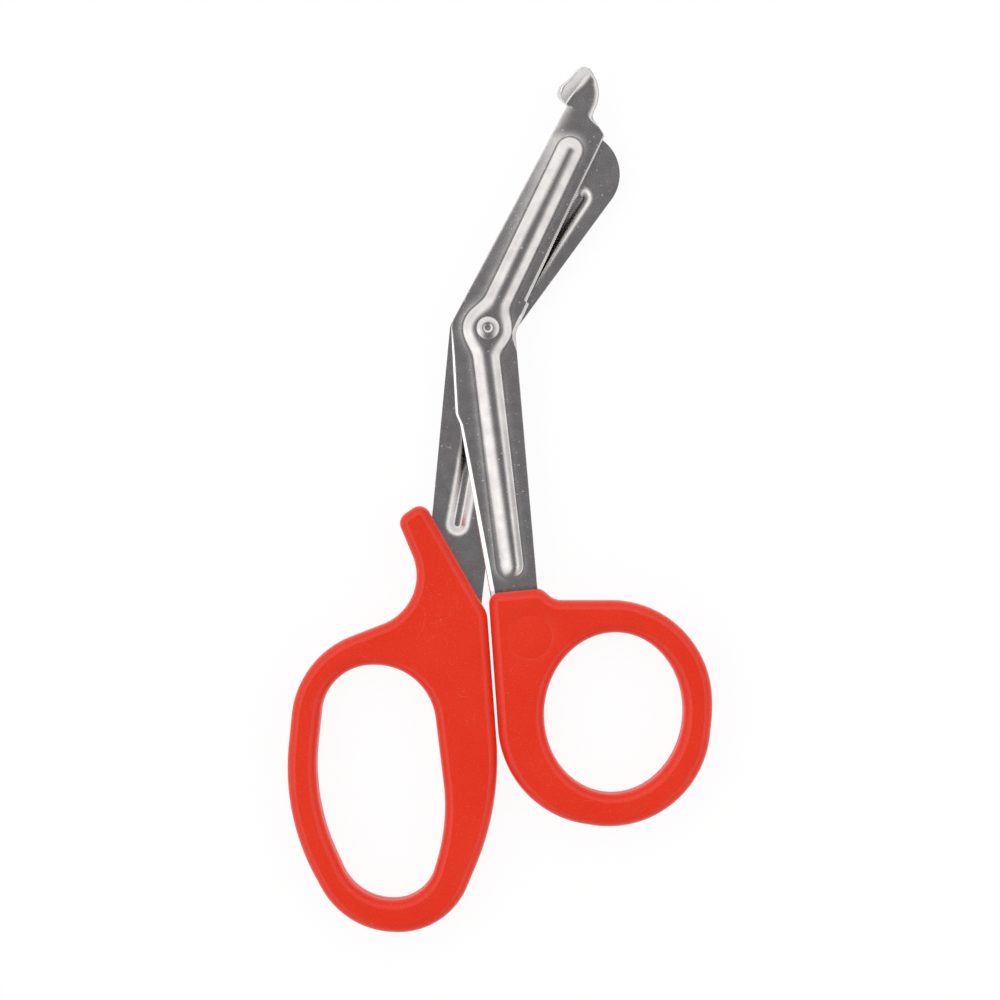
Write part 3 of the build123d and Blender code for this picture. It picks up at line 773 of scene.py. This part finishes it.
def build_shoe_blade(settings, material):
    """Long blade: rolled spine, toothed ground edge, pressed rib and boss, and a shoe bent up at its tip."""
    left, right, runs, stations = blade_rows(SHOE_LEFT, SHOE_RIGHT, SHOE_STATIONS)
    left_run, right_run = runs
    rows = len(left)
    row = np.arange(rows)
    heel, edge_start, edge_stop, fold = (stations[place] for place in (HEEL, EDGE_START, EDGE_STOP, FOLD))
    below_fold = row < fold
    cutting = (row >= edge_start) & (row <= edge_stop)
    up = right[:, 1] / MM

    teeth = tooth_wave(right_run - right_run[edge_start], up, settings) * cutting
    right[:-1] += unit(left[:-1] - right[:-1]) * (settings.tooth_depth * teeth)[:-1, None]

    spine_share = np.clip((left_run - left_run[heel]) / (left_run[fold] - left_run[heel]), 0.0, 1.0)
    spine_ease = smooth((left_run - left_run[heel] + SPINE_LEAD * MM) / (SPINE_EASE * MM))
    spine = spine_ease * below_fold * (LEAST_SPINE + (1.0 - LEAST_SPINE) * spine_share)
    fold_share = np.clip((left_run - left_run[fold]) / (left_run[-1] - left_run[fold]), 0.0, 1.0)
    cup_width = (CUP_START + CUP_GROWTH * fold_share) * MM
    cup_tilt = CUP_TILT * smooth(fold_share * CUP_HASTE) * ~below_fold

    width = np.linalg.norm(right - left, axis=-1)
    tip_width = np.minimum(TIP_ROLL_WIDTH * MM, TIP_ROLL_SHARE * width) + SAME_POINT
    tip_fall = TIP_ROLL_SLOPE * tip_width * smooth((up - TIP_ROLL_FROM) / TIP_ROLL_EASE)

    def roll(across):
        """Fall of the upper side to the spine and to the tip's right rim.

        Each is a depth times the square of the share of its width that is left.
        """
        share = np.clip(1.0 - across / settings.spine_roll, 0.0, 1.0)
        tip_share = np.clip(1.0 - (width[:, None] - across) / tip_width[:, None], 0.0, 1.0)
        return settings.spine_fall * spine[:, None] * share ** 2 + tip_fall[:, None] * tip_share ** 2

    def lift(across):
        """Rise of the tip towards the fold: half of slope times width times the square of the share left."""
        share = np.clip(1.0 - across / cup_width[:, None], 0.0, 1.0)
        return 0.5 * np.tan(cup_tilt)[:, None] * cup_width[:, None] * share ** 2

    edges = shoe_edges(left, right, width, below_fold, teeth, cutting, settings)
    counts = ((9, 2, 2, 30, 2, 2, 9), (13, 2, 6, 2, 13))
    grid, ground = blade_grid(left, right, SHOE_RIBS, settings, edges, counts, roll, lift)
    flap = shoe_flap(left[fold:], lift(np.zeros((rows, 1)))[fold:, 0], cup_tilt[fold:], settings)

    # Beyond the fold the left edge's fan is left out, and the flap takes its place.
    ring, side = grid.shape[1], edges[0][0].shape[1]
    faces = grid_faces(rows, ring, True)
    wall = np.zeros(faces.shape[:2], bool)
    wall[fold:, ring - side + 1:] = True
    flap_rows, flap_ring = flap.shape[:2]
    flap_first = rows * ring + np.arange(flap_ring)
    flap_last = flap_first + (flap_rows - 1) * flap_ring
    foot_side = fold * ring + np.arange(ring - side + 2, ring)
    end_side = (rows - 1) * ring + sum(counts[0]) + np.arange(side - 2, 0, -1)
    groups = [
        faces[~wall].tolist(),
        (grid_faces(flap_rows, flap_ring, False) + rows * ring).reshape(-1, 4).tolist(),
        [list(range(ring))],
        [[*flap_first.tolist(), *foot_side.tolist()]],
        [[*flap_last.tolist(), *end_side.tolist()]],
    ]
    points = np.concatenate([grid.reshape(-1, 3), flap.reshape(-1, 3)])
    # The whole shoe takes half the ground mark: a painted highlight that lightens its tilted face.
    flap_highlight = 0.5
    ground = np.concatenate([ground.ravel(), np.full(flap_rows * flap_ring, flap_highlight)])
    # Painted shade on the steel along the thumb handle's top edge and under it, fading out just above.
    handle_slope, handle_shade_most, handle_shade_reach = 0.094, 0.6, 1.1 * MM
    handle_line = THUMB_OUTLINE[0][1] * MM + handle_slope * points[:, 0]
    handle_shade = handle_shade_most * (1.0 - smooth((points[:, 1] - handle_line) / handle_shade_reach))
    points[:, 2] += MID_PLANE + settings.gap / 2
    solid, mesh = new_piece("shoe_blade_pressing", points, groups, {"ground": ground, "handle_shade": handle_shade})
    return finish_piece(solid, mesh, material, sharp_degrees=50.0)


def build_plain_blade(settings, material):
    """Short blade: the same pressing turned rib down, with a ground left edge and a broad round tip."""
    left, right, runs, stations = blade_rows(PLAIN_LEFT, PLAIN_RIGHT, PLAIN_STATIONS)
    rows = len(left)
    # Share of the ground left edge: it shapes the bevel and, as the ground mark, paints a highlight along it.
    past_start = runs[0] - runs[0][stations[PLAIN_GROUND]]
    ground_ease = 1.0 * MM
    ground = smooth(past_start / ground_ease)
    narrowing = np.clip(np.linalg.norm(right - left, axis=-1) / NARROW_TIP, 0.0, 1.0)
    low_round = 0.048 * MM * narrowing
    right_edge = bevelled_edge(0.3 * MM * narrowing, np.ones(rows), low_round, np.zeros(rows), settings)
    bevel = (0.3 + 0.1 * ground) * MM * narrowing
    left_edge = bevelled_edge(bevel, 1.0 + 2.0 * ground, low_round * (1.0 - ground), ground, settings)

    def level(across):
        """No roll and no lift."""
        return np.zeros_like(across)

    counts = ((6, 1, 1, 20, 1, 1, 6), (22, 3, 10, 3, 22))
    edges = (left_edge, right_edge)
    grid, marks = blade_grid(left, right, PLAIN_RIBS, settings, edges, counts, level, level)
    points = grid.reshape(-1, 3).copy()
    points[:, 2] = MID_PLANE - settings.gap / 2 - points[:, 2]
    groups = [grid_faces(rows, grid.shape[1], True).reshape(-1, 4).tolist(), [list(range(grid.shape[1]))]]
    solid, mesh = new_piece("plain_blade_pressing", points, groups, {"ground": marks})
    return finish_piece(solid, mesh, material, sharp_degrees=50.0)


def build_rivet(settings, material):
    """Rivet: its half section turned round the pivot's axis; the head is a ball's cap with a punched dimple.

    A ball of radius R falls by R less the root of R^2 - r^2 at a distance r from its axis. The section's
    points are in mm: the distance from the axis, and the height over the head's foot or the tail's end.
    """
    head_clearance, head_height, ball = 0.05 * MM, 1.0, 5.13
    shank_radius, tail_radius, tail_round = 1.6, 2.8, 0.35
    rise = settings.sheet + settings.rib_height + settings.gap / 2
    head_foot = MID_PLANE + rise + head_clearance
    tail_top = MID_PLANE - rise
    dimple = np.array([[0.0, 0.67], [0.55, 0.67], [0.66, 0.69], [0.95, 0.81], [1.06, 0.855]])
    reach = np.linspace(1.15, 2.42, 14)
    dome = np.stack([reach, head_height - (ball - np.sqrt(ball ** 2 - reach ** 2))], axis=-1)
    rim_side = np.array([[2.475, 0.34], [2.5, 0.27], [2.5, 0.1], [2.45, 0.0], [shank_radius, 0.0]])
    head = np.vstack([dimple, dome, rim_side]) * MM + [0.0, head_foot]
    shank = np.array([[shank_radius * MM, tail_top], [tail_radius * MM, tail_top]])
    quarter = np.linspace(0.0, np.pi / 2, 9)
    tail_reach = tail_radius - tail_round + tail_round * np.cos(quarter)
    tail = np.stack([tail_reach, tail_round * (1.0 - np.sin(quarter))], axis=-1) * MM
    section = np.vstack([head, shank, tail, [[0.0, 0.0]]])
    angle = np.arange(RIVET_POINTS) * 2.0 * np.pi / RIVET_POINTS
    points = np.stack([
        section[:, :1] * np.cos(angle),
        section[:, :1] * np.sin(angle),
        np.broadcast_to(section[:, 1:], (len(section), RIVET_POINTS)),
    ], axis=-1)
    groups = [grid_faces(len(section), RIVET_POINTS, True).reshape(-1, 4).tolist()]
    solid, mesh = new_piece("pivot_rivet_turned", points, groups, {})
    return finish_piece(solid, mesh, material, sharp_degrees=35.0)


class NodeBench:
    """Adds nodes to the tree of a material or a world and links their sockets by name."""

    def __init__(self, owner, coordinates):
        owner.use_nodes = True
        self.tree = owner.node_tree
        self.place = self.add("ShaderNodeTexCoord").outputs[coordinates]

    def add(self, kind, **fields):
        """New node with its plain fields set."""
        node = self.tree.nodes.new(kind)
        for field, value in fields.items():
            setattr(node, field, value)
        return node

    def link(self, source, target):
        """Link from an output to an input."""
        self.tree.links.new(source, target)

    def noise(self, scale, detail):
        """Noise over the place; scale is in waves per metre."""
        node = self.add("ShaderNodeTexNoise")
        node.inputs["Scale"].default_value = scale
        node.inputs["Detail"].default_value = detail
        self.link(self.place, node.inputs["Vector"])
        return node.outputs["Fac"]

    def remap(self, value, source, target=(0.0, 1.0), ease="LINEAR"):
        """Value moved from one range to another and held there."""
        node = self.add("ShaderNodeMapRange", interpolation_type=ease)
        for name, number in zip(("From Min", "From Max", "To Min", "To Max"), (*source, *target)):
            node.inputs[name].default_value = number
        self.link(value, node.inputs["Value"])
        return node.outputs["Result"]

    def mark(self, name):
        """Number that the piece's points carry under a name, or 0."""
        return self.add("ShaderNodeAttribute", attribute_name=name).outputs["Fac"]

    def near(self, spot, inside, outside):
        """1 within a distance of a spot, easing to 0 further out; all are in mm."""
        distance = self.against("DISTANCE", [number * MM for number in spot])
        return self.remap(distance, (inside * MM, outside * MM), (1.0, 0.0))

    def against(self, operation, vector):
        """Number that an operation gives for the place and a fixed vector."""
        node = self.add("ShaderNodeVectorMath", operation=operation)
        node.inputs[1].default_value = vector
        self.link(self.place, node.inputs[0])
        return node.outputs["Value"]

    def math(self, operation, first, second):
        """Math node on a socket and a socket or number."""
        node = self.add("ShaderNodeMath", operation=operation)
        self.link(first, node.inputs[0])
        if isinstance(second, (int, float)):
            node.inputs[1].default_value = second
        else:
            self.link(second, node.inputs[1])
        return node.outputs[0]

    def times(self, first, second):
        """Product of a socket and a socket or number."""
        return self.math("MULTIPLY", first, second)

    def mix(self, factor, first, second):
        """Colour between two colours, each a socket or a tuple."""
        node = self.add("ShaderNodeMix", data_type="RGBA")
        self.link(factor, node.inputs["Factor"])
        for socket, colour in ((node.inputs[6], first), (node.inputs[7], second)):
            if isinstance(colour, bpy.types.NodeSocket):
                self.link(colour, socket)
            else:
                socket.default_value = (*colour, 1.0)
        return node.outputs[2]

    def hairlines(self, scale, thickness, cover):
        """Thin curling lines where a noise passes its middle value, kept only where another noise is high."""
        patch_scale, patch_edge = 1.7 * scale, 0.06
        line = self.math("ABSOLUTE", self.math("SUBTRACT", self.noise(scale, detail=1.0), 0.5), 0.0)
        thin = self.remap(line, (0.0, thickness), (1.0, 0.0))
        return self.times(thin, self.remap(self.noise(patch_scale, detail=0.0), (cover, cover + patch_edge)))


class MaterialBench(NodeBench):
    """Bench of a new material and its shader, over Object coordinates."""

    def __init__(self, name):
        self.material = bpy.data.materials.new(name)
        super().__init__(self.material, "Object")
        self.shader = self.tree.nodes["Principled BSDF"]

    def finish(self, base, grain, marks, wear, roughness, dent):
        """Base colour, roughness that grows with grain and worn marks, and a bump of grain and dents."""
        self.link(base, self.shader.inputs["Base Color"])
        worn = self.math("ADD", grain, self.times(marks, wear))
        self.link(self.remap(worn, (0.3, 1.2), roughness), self.shader.inputs["Roughness"])
        node = self.add("ShaderNodeBump")
        node.inputs["Distance"].default_value = BUMP_DEPTH
        node.inputs["Strength"].default_value = BUMP_STRENGTH
        self.link(self.math("ADD", grain, self.times(marks, -dent)), node.inputs["Height"])
        self.link(node.outputs["Normal"], self.shader.inputs["Normal"])


def tinted(colour, shares):
    """Colour with each channel times its share."""
    return tuple(channel * share for channel, share in zip(colour, shares))


def tumbled_steel(name, colour, roughness):
    """Stainless sheet after tumbling: dull fine grain, faint mottling, a few bright nicks and hairlines.

    The ground mark brightens bevels that were ground after tumbling, and is partly a painted highlight along
    them; the second mark is painted shade, made patchy, where the steel goes into the handle.
    """
    bench = MaterialBench(name)
    grain = bench.noise(scale=6500.0, detail=3.0)
    mottle = bench.noise(scale=380.0, detail=3.0)
    nicks = bench.remap(bench.noise(scale=1700.0, detail=0.0), (0.785, 0.83))
    lines = bench.hairlines(scale=260.0, thickness=0.005, cover=0.64)
    marks = bench.math("MAXIMUM", nicks, lines)
    dark, pale = tinted(colour, (0.91, 0.89, 0.92)), tinted(colour, (1.08, 1.1, 1.08))
    base = bench.mix(bench.remap(mottle, (0.3, 0.7)), dark, pale)
    base = bench.mix(bench.times(marks, 0.6), base, BRIGHT_NICK)
    # Ground bevels lighter: partly their finish, partly a painted highlight.
    base = bench.mix(bench.mark("ground"), base, GROUND_HIGHLIGHT_STEEL)
    # Painted shade, made patchy, where the steel goes into the handle.
    patchy = bench.remap(bench.noise(scale=1500.0, detail=2.0), (0.3, 0.65), (0.35, 1.0))
    base = bench.mix(bench.times(bench.mark("handle_shade"), patchy), base, HANDLE_SHADE)
    bench.finish(base, grain, marks, wear=0.6, roughness=(roughness - 0.05, roughness + 0.16), dent=0.8)
    bench.shader.inputs["Metallic"].default_value = 1.0
    return bench.material


def moulded_plastic(name, colour):
    """Opaque red plastic: soft sheen, fine orange peel, small pale specks and a few handling scratches."""
    bench = MaterialBench(name)
    cloud = bench.noise(scale=60.0, detail=2.0)
    peel = bench.noise(scale=3400.0, detail=2.0)
    specks = bench.remap(bench.noise(scale=3900.0, detail=0.0), (0.74, 0.79), (0.0, 0.6))
    scratches = bench.hairlines(scale=420.0, thickness=0.007, cover=0.5)
    scratches = bench.times(scratches, bench.near(SCRATCHED, inside=4.0, outside=9.0))
    lines = bench.times(bench.hairlines(scale=170.0, thickness=0.003, cover=0.57), 0.5)
    marks = bench.math("MAXIMUM", bench.math("MAXIMUM", specks, lines), scratches)
    deep, light = tinted(colour, (0.98, 0.9, 0.85)), tinted(colour, (1.02, 1.25, 1.4))
    shade = bench.math("ADD", bench.times(cloud, 0.5), bench.times(peel, 0.5))
    base = bench.mix(bench.remap(shade, (0.35, 0.65)), deep, light)
    base = bench.mix(bench.times(marks, 0.65), base, SCUFFED_PLASTIC)
    bench.finish(base, peel, marks, wear=0.5, roughness=(0.27, 0.42), dent=0.6)
    bench.shader.inputs["Specular IOR Level"].default_value = 0.32
    return bench.material


def dress(piece, body, node):
    """Rides a piece on its body, in place of the node that it stands for, which it hides."""
    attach(piece, body)
    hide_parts(node)


class SCISSORS_OT_blades(bpy.types.Operator):
    """Builds the two pressed steel blades"""

    bl_idname = "scissors.blades"
    bl_label = "Blades"

    def execute(self, context):
        settings = context.scene.scissors_blades
        steel = tumbled_steel("tumbled_steel", tuple(settings.steel), roughness=0.27)
        dress(build_shoe_blade(settings, steel), "thumb_side", "shoe_blade")
        dress(build_plain_blade(settings, steel), "finger_side", "plain_blade")
        return {"FINISHED"}


class SCISSORS_OT_rivet(bpy.types.Operator):
    """Builds the pivot's rivet"""

    bl_idname = "scissors.rivet"
    bl_label = "Rivet"

    def execute(self, context):
        settings = context.scene.scissors_blades
        steel = tumbled_steel("rivet_steel", tuple(settings.steel), roughness=0.3)
        dress(build_rivet(settings, steel), "finger_side", "pivot_rivet")
        return {"FINISHED"}


class SCISSORS_OT_handles(bpy.types.Operator):
    """Builds the two moulded handles"""

    bl_idname = "scissors.handles"
    bl_label = "Handles"

    def execute(self, context):
        settings = context.scene.scissors_handles
        plastic = moulded_plastic("moulded_plastic", tuple(settings.plastic))
        outline = rounded_path(THUMB_OUTLINE, True)
        hole = ellipse_path(THUMB_HOLE_CENTRE, THUMB_HOLE_RADII, THUMB_HOLE_TILT)
        thumb = moulded_handle("thumb_ring_moulding", outline, hole, EJECTOR_CENTRE, plastic, settings)
        dress(thumb, "thumb_side", "thumb_ring_handle")
        outline, hole = rounded_path(FINGER_OUTLINE, True), rounded_path(FINGER_HOLE, True)
        finger = moulded_handle("finger_loop_moulding", outline, hole, None, plastic, settings)
        dress(finger, "finger_side", "finger_loop_handle")
        return {"FINISHED"}


class SCISSORS_OT_stage(bpy.types.Operator):
    """Sets the floor, the light and the overhead camera"""

    bl_idname = "scissors.stage"
    bl_label = "Stage"

    def execute(self, context):
        settings = context.scene.scissors_stage
        context.scene.view_settings.view_transform = "Standard"
        self.floor(context, settings)
        self.sky(context, settings)
        self.lamp(context, "left_softbox", place=(-0.62, -0.15, 0.62), size=0.35, power=0.1)
        self.camera(context, settings)
        return {"FINISHED"}

    def floor(self, context, settings):
        """Pale level square under the object that shows near white to the camera and keeps a soft shadow."""
        half, glow_share, glow_strength = 4.0, 0.9, 1.03
        corners = [(-half, -half, 0), (half, -half, 0), (half, half, 0), (-half, half, 0)]
        mesh = bpy.data.meshes.new("floor")
        mesh.from_pydata(corners, [], [(0, 1, 2, 3)])
        bench = MaterialBench("floor_paper")
        bench.shader.inputs["Base Color"].default_value = (*settings.floor, 1.0)
        bench.shader.inputs["Roughness"].default_value = 0.9
        bench.shader.inputs["Specular IOR Level"].default_value = 0.0
        glow = bench.add("ShaderNodeEmission")
        glow.inputs["Strength"].default_value = glow_strength
        rays = bench.add("ShaderNodeLightPath")
        seen = bench.math("MAXIMUM", rays.outputs["Is Camera Ray"], rays.outputs["Is Glossy Ray"])
        seen = bench.math("MAXIMUM", seen, rays.outputs["Is Transmission Ray"])
        blend = bench.add("ShaderNodeMixShader")
        bench.link(bench.times(seen, glow_share), blend.inputs[0])
        bench.link(bench.shader.outputs[0], blend.inputs[1])
        bench.link(glow.outputs[0], blend.inputs[2])
        bench.link(blend.outputs[0], bench.tree.nodes["Material Output"].inputs["Surface"])
        mesh.materials.append(bench.material)
        ground = bpy.data.objects.new("floor", mesh)
        context.scene.collection.objects.link(ground)

    def sky(self, context, settings):
        """World of pale walls under a dark ceiling that leans a bit to the right and reaches down in front.

        Towards the horizon the walls fall off, on the right more than on the left.
        """
        world = bpy.data.worlds.new("studio")
        context.scene.world = world
        bench = NodeBench(world, "Generated")
        split = bench.add("ShaderNodeSeparateXYZ")
        bench.link(bench.place, split.inputs[0])

        def patch(lean_right, lean_front, outside, inside):
            """Share of darkness round a direction, between two cosines of the angle from it."""
            up = math.sqrt(1.0 - lean_right ** 2 - lean_front ** 2)
            facing = bench.against("DOT_PRODUCT", (lean_right, -lean_front, up))
            return bench.remap(facing, (outside, inside), ease="SMOOTHSTEP")

        ceiling = patch(lean_right=0.07, lean_front=0.0, outside=0.70, inside=0.96)
        front = patch(lean_right=0.05, lean_front=0.64, outside=0.84, inside=0.95)
        dark = bench.math("MAXIMUM", ceiling, front)
        low = bench.remap(split.outputs["X"], (-0.6, 0.6), (0.45, 0.35), ease="SMOOTHSTEP")
        walls = bench.remap(split.outputs["Z"], (0.15, 0.65), ease="SMOOTHSTEP")
        bench.link(low, walls.node.inputs["To Min"])
        pale = bench.add("ShaderNodeVectorMath", operation="SCALE")
        pale.inputs[0].default_value = settings.bright_sky
        bench.link(walls, pale.inputs["Scale"])
        colour = bench.mix(dark, pale.outputs["Vector"], settings.dark_sky)
        bench.link(colour, bench.tree.nodes["Background"].inputs["Color"])

    def lamp(self, context, name, place, size, power):
        """Square soft lamp that looks at the object."""
        data = bpy.data.lights.new(name, "AREA")
        data.size = size
        data.energy = power
        lamp = bpy.data.objects.new(name, data)
        lamp.location = place
        aim = Vector((0.0, -0.04, 0.0)) - lamp.location
        lamp.rotation_euler = aim.to_track_quat("-Z", "Y").to_euler()
        context.scene.collection.objects.link(lamp)

    def camera(self, context, settings):
        """Long lens straight above, with the pivot at its place in a square picture of 1000 pixels."""
        pivot_pixel = (488.0, 329.0)
        middle = 500.0
        data = bpy.data.cameras.new("overhead")
        data.sensor_width = 36.0
        data.lens = data.sensor_width * (settings.camera_height - MID_PLANE) / (2 * middle * settings.pixel)
        data.clip_end = 10.0
        camera = bpy.data.objects.new("overhead", data)
        camera.location = (
            (middle - pivot_pixel[0]) * settings.pixel, (pivot_pixel[1] - middle) * settings.pixel,
            settings.camera_height)
        context.scene.collection.objects.link(camera)
        context.scene.camera = camera


class SCISSORS_PT_panel(bpy.types.Panel):
    """Buttons and sizes in the sidebar"""

    bl_label = "Bandage scissors"
    bl_space_type = "VIEW_3D"
    bl_region_type = "UI"
    bl_category = "Scissors"

    def draw(self, context):
        for name in GROUPS:
            group = getattr(context.scene, name)
            box = self.layout.box()
            for setting in group.__annotations__:
                box.prop(group, setting)
        for operator in OPERATORS:
            self.layout.operator(operator.bl_idname)


OPERATORS = (SCISSORS_OT_blades, SCISSORS_OT_rivet, SCISSORS_OT_handles, SCISSORS_OT_stage)
GROUPS = {
    "scissors_blades": BladeSettings,
    "scissors_handles": HandleSettings,
    "scissors_stage": StageSettings,
}


def register():
    for name, group in GROUPS.items():
        bpy.utils.register_class(group)
        setattr(bpy.types.Scene, name, bpy.props.PointerProperty(type=group))
    for kind in (*OPERATORS, SCISSORS_PT_panel):
        bpy.utils.register_class(kind)


def unregister():
    for kind in (SCISSORS_PT_panel, *reversed(OPERATORS)):
        bpy.utils.unregister_class(kind)
    for name, group in GROUPS.items():
        delattr(bpy.types.Scene, name)
        bpy.utils.unregister_class(group)


def main():
    register()
    bpy.ops.scissors.handles()
    bpy.ops.scissors.blades()
    bpy.ops.scissors.rivet()
    bpy.ops.scissors.stage()


if __name__ == "__main__":
    main()
